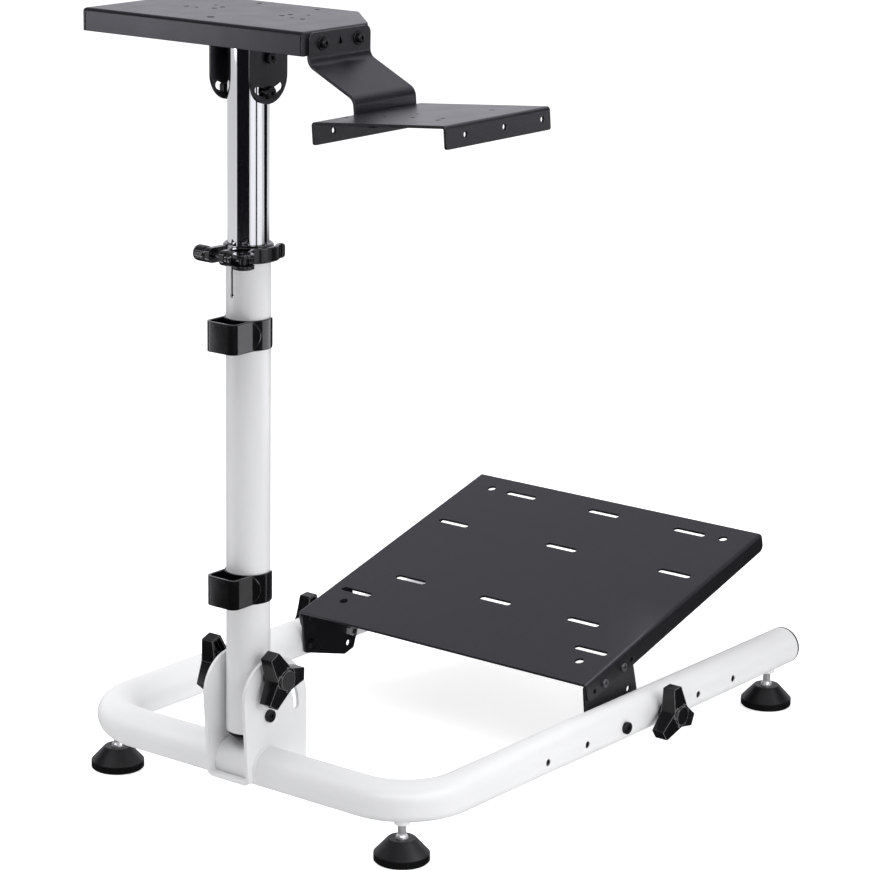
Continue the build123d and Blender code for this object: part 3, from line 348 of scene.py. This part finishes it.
def surface_group(name):
    """Coated, moulded or rolled surface: drifting colour and roughness, a painted highlight that pales the
    edges, and a bumped normal.
    """
    group = bpy.data.node_groups.new(name, "ShaderNodeTree")
    sockets = group.interface
    for label, kind, value in (("Colour", "NodeSocketColor", (0.5, 0.5, 0.5, 1)),
                               ("Colour Drift", "NodeSocketFloat", 0.05),
                               ("Roughness Low", "NodeSocketFloat", 0.3),
                               ("Roughness High", "NodeSocketFloat", 0.4),
                               ("Drift Size", "NodeSocketFloat", 20.0),
                               ("Grain Size", "NodeSocketFloat", 1500.0),
                               ("Grain Height", "NodeSocketFloat", 0.1),
                               ("Speckle", "NodeSocketFloat", 0.0),
                               ("Edge Radius", "NodeSocketFloat", 0.0004),
                               ("Painted Edge Highlight", "NodeSocketFloat", 0.0)):
        sockets.new_socket(label, in_out="INPUT", socket_type=kind).default_value = value
    for label, kind in (("Colour", "NodeSocketColor"), ("Roughness", "NodeSocketFloat"),
                        ("Normal", "NodeSocketVector")):
        sockets.new_socket(label, in_out="OUTPUT", socket_type=kind)
    nodes, links = group.nodes, group.links
    inside = nodes.new("NodeGroupInput").outputs
    outside = nodes.new("NodeGroupOutput").inputs
    where = nodes.new("ShaderNodeTexCoord").outputs["Object"]

    def maths(operation, *values):
        node = nodes.new("ShaderNodeMath")
        node.operation = operation
        for socket, value in zip(node.inputs, values):
            if isinstance(value, float):
                socket.default_value = value
            else:
                links.new(value, socket)
        return node.outputs[0]

    def vector_maths(operation, first, second):
        node = nodes.new("ShaderNodeVectorMath")
        node.operation = operation
        links.new(first, node.inputs[0])
        links.new(second, node.inputs["Scale" if operation == "SCALE" else 1])
        return node.outputs["Value" if operation == "DOT_PRODUCT" else 0]

    def noise(detail, scale):
        node = nodes.new("ShaderNodeTexNoise")
        node.inputs["Detail"].default_value = detail
        links.new(where, node.inputs["Vector"])
        links.new(scale, node.inputs["Scale"])
        return node.outputs["Fac"]

    drift = noise(DRIFT_DETAIL, inside["Drift Size"])
    grain = noise(GRAIN_DETAIL, inside["Grain Size"])
    swing = maths("MULTIPLY_ADD", maths("SUBTRACT", drift, NOISE_MIDDLE), inside["Colour Drift"], 1.0)
    speckle = maths("MULTIPLY_ADD", maths("SUBTRACT", grain, NOISE_MIDDLE), inside["Speckle"], swing)
    tint = vector_maths("SCALE", inside["Colour"], speckle)
    rough = nodes.new("ShaderNodeMapRange")
    rough.inputs["From Min"].default_value = DRIFT_RANGE[0]
    rough.inputs["From Max"].default_value = DRIFT_RANGE[1]
    links.new(drift, rough.inputs["Value"])
    links.new(inside["Roughness Low"], rough.inputs["To Min"])
    links.new(inside["Roughness High"], rough.inputs["To Max"])
    links.new(rough.outputs["Result"], outside["Roughness"])
    # Edges: the bevel gives a rounded normal. Where that normal turns away from the true one the colour is
    # made paler, a painted highlight along sharp edges.
    edge = nodes.new("ShaderNodeBevel")
    edge.samples = EDGE_SAMPLES
    links.new(inside["Edge Radius"], edge.inputs["Radius"])
    true_normal = nodes.new("ShaderNodeNewGeometry").outputs["Normal"]
    edge_highlight_mask = nodes.new("ShaderNodeMapRange")
    edge_highlight_mask.inputs["From Min"].default_value = HIGHLIGHT_FACING[0]
    edge_highlight_mask.inputs["From Max"].default_value = HIGHLIGHT_FACING[1]
    links.new(vector_maths("DOT_PRODUCT", edge.outputs["Normal"], true_normal), edge_highlight_mask.inputs["Value"])
    links.new(inside["Painted Edge Highlight"], edge_highlight_mask.inputs["To Max"])
    links.new(vector_maths("ADD", tint, edge_highlight_mask.outputs["Result"]), outside["Colour"])
    bump = nodes.new("ShaderNodeBump")
    bump.inputs["Distance"].default_value = GRAIN_DEPTH
    links.new(inside["Grain Height"], bump.inputs["Strength"])
    links.new(grain, bump.inputs["Height"])
    links.new(edge.outputs["Normal"], bump.inputs["Normal"])
    links.new(bump.outputs["Normal"], outside["Normal"])
    return group


surface = surface_group("coated_surface")


def dress(name, colour, colour_drift, roughness, drift_size, grain_size, grain_height, edge_radius,
          metal=0.0, gloss=0.5, speckle=0.0, painted_edge_highlight=0.0):
    """Material whose colour, roughness and normal come from the surface group."""
    material, tree, shader = node_material(name)
    look = tree.nodes.new("ShaderNodeGroup")
    look.node_tree = surface
    for label, value in (("Colour", (*colour, 1)), ("Colour Drift", colour_drift),
                         ("Roughness Low", roughness[0]), ("Roughness High", roughness[1]),
                         ("Drift Size", drift_size), ("Grain Size", grain_size),
                         ("Grain Height", grain_height), ("Speckle", speckle),
                         ("Edge Radius", edge_radius), ("Painted Edge Highlight", painted_edge_highlight)):
        look.inputs[label].default_value = value
    tree.links.new(look.outputs["Colour"], shader.inputs["Base Color"])
    tree.links.new(look.outputs["Roughness"], shader.inputs["Roughness"])
    tree.links.new(look.outputs["Normal"], shader.inputs["Normal"])
    shader.inputs["Metallic"].default_value = metal
    shader.inputs["Specular IOR Level"].default_value = gloss
    return material


def finish_nodes(material, *names):
    """Gives CAD nodes a material in place of their own."""
    for name in names:
        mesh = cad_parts[name].data
        mesh.materials.clear()
        mesh.materials.append(material)


white_coat = dress("white_powder_coat", (0.84, 0.845, 0.855), colour_drift=0.03, roughness=(0.3, 0.38),
                   drift_size=14, grain_size=900, grain_height=0.06, edge_radius=0.0008)
finish_nodes(white_coat, "base_tube")


# Leg end plugs: black polyethylene caps pressed into the open ends of the tube. Each is a hollow spigot
# with a plain collar as wide as the tube, rounded a little at its outer edge.
plug_plastic = dress("plug_plastic", (0.005, 0.005, 0.0055), colour_drift=0.2, roughness=(0.38, 0.5),
                     drift_size=60, grain_size=1400, grain_height=0.12, edge_radius=0.0006, gloss=0.25)
COLLAR_LENGTH = 0.0035
COLLAR_ROUND = 0.0006
ROUND_MIDDLE = 0.3
SPIGOT_INSET = 0.00155
SPIGOT_WALL = 0.0025
PLUG_STEPS = 96


def add_piece(name, points, faces, material, body, smooth=True):
    """New mesh piece that rides on a body."""
    mesh = bpy.data.meshes.new(name)
    mesh.from_pydata(points, [], faces)
    mesh.validate()
    if smooth:
        mesh.polygons.foreach_set("use_smooth", [True] * len(mesh.polygons))
    mesh.materials.append(material)
    piece = bpy.data.objects.new(name, mesh)
    bpy.context.scene.collection.objects.link(piece)
    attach(piece, body)
    return piece


def rings(sections, closed=False):
    """Faces between rings of points that follow each other, capped at both ends unless closed."""
    count = len(sections[0])
    points = [point for section in sections for point in section]
    faces = []
    last = len(sections) if closed else len(sections) - 1
    for row in range(last):
        near, far = row * count, (row + 1) % len(sections) * count
        for step in range(count):
            after = (step + 1) % count
            faces.append((near + step, near + after, far + after, far + step))
    if not closed:
        faces.append(tuple(range(count))[::-1])
        faces.append(tuple(range((len(sections) - 1) * count, len(sections) * count)))
    return points, faces


def end_plug(side):
    """Hollow plug turned about the leg's axis, with the collar outside the tube."""
    low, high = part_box("end_plug_" + side)
    middle = (low + high) / 2
    wide = (high.x - low.x) / 2
    spigot = wide - SPIGOT_INSET
    shoulder = high.y - COLLAR_LENGTH
    cut = ROUND_MIDDLE * COLLAR_ROUND
    profile = ((wide - COLLAR_ROUND, high.y), (wide - cut, high.y - cut), (wide, high.y - COLLAR_ROUND),
               (wide, shoulder), (spigot, shoulder), (spigot, low.y),
               (spigot - SPIGOT_WALL, low.y), (spigot - SPIGOT_WALL, shoulder))
    angles = [2 * math.pi * step / PLUG_STEPS for step in range(PLUG_STEPS)]
    sections = []
    for radius, y in profile:
        sections.append([(middle.x + radius * math.cos(angle), y, middle.z + radius * math.sin(angle))
                         for angle in angles])
    points, faces = rings(sections)
    name = "leg_plug_" + side
    piece = add_piece(name, points, faces, plug_plastic, "base", smooth=False)
    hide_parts("end_plug_" + side)


end_plug("right")
end_plug("left")


# Levelling feet: black rubber cones. A bright zinc-plated steel stud with a ball end sits in each cone
# and screws into a boss under the tube.
FEET = ("front_right", "front_left", "rear_right", "rear_left")
foot_rubber = dress("foot_rubber", (0.004, 0.004, 0.0045), colour_drift=0.25, roughness=(0.34, 0.44),
                    drift_size=80, grain_size=1100, grain_height=0.2, edge_radius=0.0011, gloss=0.3)
zinc = dress("zinc_plate", (0.80, 0.805, 0.82), colour_drift=0.1, roughness=(0.10, 0.20),
             drift_size=90, grain_size=2200, grain_height=0.03, edge_radius=0.0004, metal=0.6)
finish_nodes(foot_rubber, *("foot_pad_" + foot for foot in FEET))
finish_nodes(zinc, *("foot_stud_" + foot for foot in FEET))


# Column bracket: bent from white coated sheet and welded round the crossbar. The coat runs over the
# weld beads, so they show only as soft ripples where the sheet meets the tube.
finish_nodes(white_coat, "column_bracket")
TUBE_RADIUS = 0.024
BEAD = 0.0014
BEAD_SINK = 0.25
BEAD_ARC = (math.radians(-34), math.radians(214))
BEAD_STEPS = 150
BEAD_SIDES = 10
BEAD_TAPER = 6
BEAD_THIN = 0.35
RIPPLE = 0.07
RIPPLE_PITCH = 1.9
axis_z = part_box("base_tube")[1].z - TUBE_RADIUS
bracket_low, bracket_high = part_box("column_bracket")


def bead_round_tube(name, face_x, way):
    """Rippled bead over the top of the tube, thinner towards its ends."""
    sections = []
    for index in range(BEAD_STEPS + 1):
        angle = BEAD_ARC[0] + (BEAD_ARC[1] - BEAD_ARC[0]) * index / BEAD_STEPS
        full = min(1, index / BEAD_TAPER, (BEAD_STEPS - index) / BEAD_TAPER)
        size = BEAD * (BEAD_THIN + (1 - BEAD_THIN) * full) * (1 + RIPPLE * math.sin(index * RIPPLE_PITCH))
        section = []
        for step in range(BEAD_SIDES):
            lean = 2 * math.pi * step / BEAD_SIDES
            radius = TUBE_RADIUS + size * (BEAD_SINK + math.cos(lean))
            section.append((face_x + way * size * (BEAD_SINK + math.sin(lean)), radius * math.cos(angle),
                            axis_z + radius * math.sin(angle)))
        sections.append(section)
    points, faces = rings(sections)
    add_piece(name, points, faces, white_coat, "base")


bead_round_tube("bracket_weld_right", bracket_high.x, 1)
bead_round_tube("bracket_weld_left", bracket_low.x, -1)


# Column: white coated tube that folds in the bracket, slit at its top so that the collar can grip the
# mast. Its pivot is a black cap screw.
black_steel = dress("black_oxide", (0.010, 0.010, 0.011), colour_drift=0.3, roughness=(0.24, 0.36),
                    drift_size=120, grain_size=2500, grain_height=0.08, edge_radius=0.0006,
                    metal=0.2, gloss=0.35)
finish_nodes(white_coat, "column_tube")
finish_nodes(plug_plastic, "column_plug")
finish_nodes(black_steel, "column_pivot_bolt")


# Slit shade: a thin black plastic strip between column and mast, no wider than the slit, painted shade that
# keeps the slit dark.
# The slit and the clamp are turned a little about the column.
COLUMN_Y = 0.003
CLAMP_TURN = math.radians(-5)
SLIT_LENGTH = 0.056
SHADE_STRIP_HALF = 0.00135
SHADE_STRIP_INNER = 0.0237
SHADE_STRIP_OUTER = 0.0245
SHADE_STRIP_CROWN = 1.003
SHADE_STRIP_DROP = 0.001
SHADE_STRIP_STEPS = 12
SHADE_STRIP_TAPER = 2
SHADE_STRIP_THIN = 0.55
column_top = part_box("column_tube")[1].z


def clamp_place(x, y, z):
    """Point of the clamp, from its own square axes to the stand's."""
    return (x * math.cos(CLAMP_TURN) - y * math.sin(CLAMP_TURN),
            COLUMN_Y + x * math.sin(CLAMP_TURN) + y * math.cos(CLAMP_TURN), z)


def dark_slit_strip():
    """Narrow dark upright strip behind the slit, painted shade, thinner towards its ends."""
    outline = ((SHADE_STRIP_INNER, -1), (SHADE_STRIP_INNER, 0), (SHADE_STRIP_INNER, 1), (SHADE_STRIP_OUTER, 1),
               (SHADE_STRIP_OUTER * SHADE_STRIP_CROWN, 0), (SHADE_STRIP_OUTER, -1))
    high = column_top - SHADE_STRIP_DROP
    low = high - SLIT_LENGTH
    sections = []
    for index in range(SHADE_STRIP_STEPS + 1):
        height = low + (high - low) * index / SHADE_STRIP_STEPS
        full = min(1, index / SHADE_STRIP_TAPER, (SHADE_STRIP_STEPS - index) / SHADE_STRIP_TAPER)
        half = SHADE_STRIP_HALF * (SHADE_STRIP_THIN + (1 - SHADE_STRIP_THIN) * full)
        sections.append([clamp_place(half * side, -radius, height) for radius, side in outline])
    return rings(sections)


# Dark strip in the slit: painted shade.
points, faces = dark_slit_strip()
add_piece("slit_shade_strip", points, faces, plug_plastic, "column")


# Cable clips: black nylon rings, moulded with a boxy loop for the leads on the driver's side. They are
# open towards the pedals and snap round the column.
# A faint painted highlight pales the clips' edges.
clip_nylon = dress("clip_nylon", (0.003, 0.003, 0.0034), colour_drift=0.2, roughness=(0.10, 0.16),
                   drift_size=50, grain_size=1200, grain_height=0.08, edge_radius=0.0014,
                   gloss=0.42, painted_edge_highlight=0.03)
finish_nodes(clip_nylon, "cable_clip_upper", "cable_clip_lower")


# Quick release: a black anodised collar, closed by a steel skewer with a knurled barrel nut and a cam
# lever. The knurl is cut into the barrel nut's rim.
# A faint painted highlight pales the clamp's edges.
clamp_metal = dress("clamp_anodised", (0.005, 0.005, 0.006), colour_drift=0.25, roughness=(0.10, 0.17),
                    drift_size=90, grain_size=1800, grain_height=0.08, edge_radius=0.0011,
                    gloss=0.75, painted_edge_highlight=0.03)
finish_nodes(clamp_metal, "clamp_collar", "clamp_lever", "clamp_skewer")
SKEWER_REACH = 0.045
NUT_RADIUS = 0.00875
NUT_SPAN = (-0.0332, -0.0162)
KNURL_TEETH = 30
KNURL_ROWS = 8
TOOTH_STEPS = 4
TOOTH_RISE = 0.00045
TOOTH_ROOT = 0.25
END_SINK = -0.0002
skewer_low, skewer_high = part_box("clamp_skewer")
skewer_z = (skewer_low.z + skewer_high.z) / 2


def knurl():
    """Corrugated band round the barrel nut, sunk at both ends."""
    sections = []
    steps = KNURL_TEETH * TOOTH_STEPS
    for row in range(KNURL_ROWS + 1):
        across = NUT_SPAN[0] + (NUT_SPAN[1] - NUT_SPAN[0]) * row / KNURL_ROWS
        rise = TOOTH_RISE if 0 < row < KNURL_ROWS else END_SINK
        section = []
        for step in range(steps):
            angle = 2 * math.pi * step / steps
            tooth = TOOTH_ROOT + (1 - TOOTH_ROOT) * abs(math.sin(angle * KNURL_TEETH / 2))
            radius = NUT_RADIUS + rise * tooth
            section.append(clamp_place(across, -SKEWER_REACH + radius * math.cos(angle),
                                       skewer_z + radius * math.sin(angle)))
        sections.append(section)
    return rings(sections)


points, faces = knurl()
add_piece("barrel_nut_knurl", points, faces, clamp_metal, "column")


# Mast: chrome-plated steel tube that slides in the column, where the clamp holds it. It is polished to a
# mirror, with faint marks along it from sliding.
CHROME_COLOUR = (0.82, 0.83, 0.86, 1)
CHROME_ROUGHNESS = (0.03, 0.09)
MARK_SCALE = (900, 900, 12)
chrome, chrome_tree, chrome_shader = node_material("mast_chrome")
chrome_shader.inputs["Metallic"].default_value = 1.0
chrome_shader.inputs["Base Color"].default_value = CHROME_COLOUR
along = chrome_tree.nodes.new("ShaderNodeTexCoord")
stretch = chrome_tree.nodes.new("ShaderNodeMapping")
stretch.inputs["Scale"].default_value = MARK_SCALE
marks = chrome_tree.nodes.new("ShaderNodeTexNoise")
marks.inputs["Scale"].default_value = 1.0
marks_range = chrome_tree.nodes.new("ShaderNodeMapRange")
marks_range.inputs["To Min"].default_value = CHROME_ROUGHNESS[0]
marks_range.inputs["To Max"].default_value = CHROME_ROUGHNESS[1]
chrome_tree.links.new(along.outputs["Object"], stretch.inputs["Vector"])
chrome_tree.links.new(stretch.outputs["Vector"], marks.inputs["Vector"])
chrome_tree.links.new(marks.outputs["Fac"], marks_range.inputs["Value"])
chrome_tree.links.new(marks_range.outputs["Result"], chrome_shader.inputs["Roughness"])
finish_nodes(chrome, "mast_tube")


# Yoke and wheel plate: black coated sheet with a fine sandy grain, taken to be welded together, with black
# cap screws through the yoke's arms.
BLACK_COAT_SHINE = (0.95, 0.93, 1.0, 1)
# A faint painted highlight pales the edges of the coated sheet.
black_coat = dress("black_powder_coat", (0.0095, 0.0092, 0.0118), colour_drift=0.12, roughness=(0.30, 0.34),
                   drift_size=30, grain_size=800, grain_height=0.6, edge_radius=0.0011,
                   gloss=0.58, speckle=2.5, painted_edge_highlight=0.02)
black_coat.node_tree.nodes["Principled BSDF"].inputs["Specular Tint"].default_value = BLACK_COAT_SHINE
finish_nodes(black_coat, "tilt_yoke", "wheel_plate")
finish_nodes(black_steel, "tilt_pivot_bolt", "tilt_lock_bolt")


# Shifter bracket and plate: the same black coated sheet, bent. The bracket is screwed to the wheel plate
# and the plate to the bracket, with black cap screws, the upper two on washers.
finish_nodes(black_coat, "shifter_bracket", "shifter_plate")
finish_nodes(black_steel, "shifter_bolt_front", "shifter_bolt_rear", "shifter_plate_bolt_front",
             "shifter_plate_bolt_rear")
WASHER_SEAT = 0.159
WASHER_HOLE = 0.0048
WASHER_RADIUS = 0.0078
WASHER_THICK = 0.0013
WASHER_ROUND = 0.0003
WASHER_STEPS = 40


def washer(place):
    """Flat washer along X with rounded rims, from the bracket's face outwards."""
    low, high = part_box("shifter_bolt_" + place)
    middle = (low + high) / 2
    rim = WASHER_RADIUS - WASHER_ROUND
    profile = ((WASHER_HOLE, 0), (rim, 0), (WASHER_RADIUS, WASHER_ROUND),
               (WASHER_RADIUS, WASHER_THICK - WASHER_ROUND), (rim, WASHER_THICK), (WASHER_HOLE, WASHER_THICK))
    sections = []
    for step in range(WASHER_STEPS):
        angle = 2 * math.pi * step / WASHER_STEPS
        sections.append([(WASHER_SEAT + rise, middle.y + radius * math.cos(angle),
                          middle.z + radius * math.sin(angle)) for radius, rise in profile])
    points, faces = rings(sections, closed=True)
    name = "shifter_washer_" + place
    add_piece(name, points, faces, black_steel, "deck", smooth=False)


washer("front")
washer("rear")


# Pedal plate and hangers: slotted black coated sheet with its sides bent down. A flat hanger plate is
# screwed inside each side, and a pivot bolt and a knob with a nut hold it to the leg.
finish_nodes(black_coat, "pedal_plate", "pedal_hanger_right", "pedal_hanger_left")
screw_steel = dress("screw_steel", (0.16, 0.16, 0.17), colour_drift=0.2, roughness=(0.3, 0.42),
                    drift_size=150, grain_size=2500, grain_height=0.1, edge_radius=0.0004, metal=0.8)
for side in ("right", "left"):
    finish_nodes(black_steel, "pedal_pivot_bolt_" + side, "pedal_spacer_" + side)
    finish_nodes(screw_steel, "hanger_screw_front_" + side, "hanger_screw_rear_" + side)
    finish_nodes(zinc, "pedal_nut_" + side)


# Clamping knobs: three-lobed black polyamide knobs, moulded round a plated steel screw. Two clamp the
# column in its bracket and two clamp the pedal hangers to the legs.
BRACKET_SCREW_END = 0.0318
PEDAL_SCREW_END = 0.2723
SCREW_BLUR = 0.0002
SCREW_COLOUR = (0.62, 0.62, 0.64, 1)
# A strong painted highlight pales the knobs' edges.
knob_plastic = dress("knob_plastic", (0.004, 0.004, 0.0048), colour_drift=0.2, roughness=(0.13, 0.20),
                     drift_size=60, grain_size=1300, grain_height=0.10, edge_radius=0.0014,
                     gloss=0.34, painted_edge_highlight=0.28)


def knob_with_screw(name, screw_end):
    """Knob plastic that gives way to plated steel where the screw leaves the knob's boss."""
    material = knob_plastic.copy()
    material.name = name
    tree = material.node_tree
    shader = tree.nodes["Principled BSDF"]
    look = next(node for node in tree.nodes if node.type == "GROUP")
    split = tree.nodes.new("ShaderNodeSeparateXYZ")
    tree.links.new(tree.nodes.new("ShaderNodeTexCoord").outputs["Object"], split.inputs[0])
    away = tree.nodes.new("ShaderNodeMath")
    away.operation = "ABSOLUTE"
    tree.links.new(split.outputs["X"], away.inputs[0])
    on_screw = step_between(tree, away.outputs[0], screw_end - SCREW_BLUR, screw_end + SCREW_BLUR, 1.0, 0.0)
    steel = tree.nodes.new("ShaderNodeMix")
    steel.data_type = "RGBA"
    tree.links.new(on_screw, steel.inputs["Factor"])
    tree.links.new(look.outputs["Colour"], steel.inputs[6])
    steel.inputs[7].default_value = SCREW_COLOUR
    tree.links.new(steel.outputs[2], shader.inputs["Base Color"])
    tree.links.new(on_screw, shader.inputs["Metallic"])
    return material


bracket_knob_plastic = knob_with_screw("bracket_knob_plastic", BRACKET_SCREW_END)
pedal_knob_plastic = knob_with_screw("pedal_knob_plastic", PEDAL_SCREW_END)
for side in ("right", "left"):
    finish_nodes(bracket_knob_plastic, "bracket_knob_" + side)
    finish_nodes(pedal_knob_plastic, "pedal_knob_" + side)
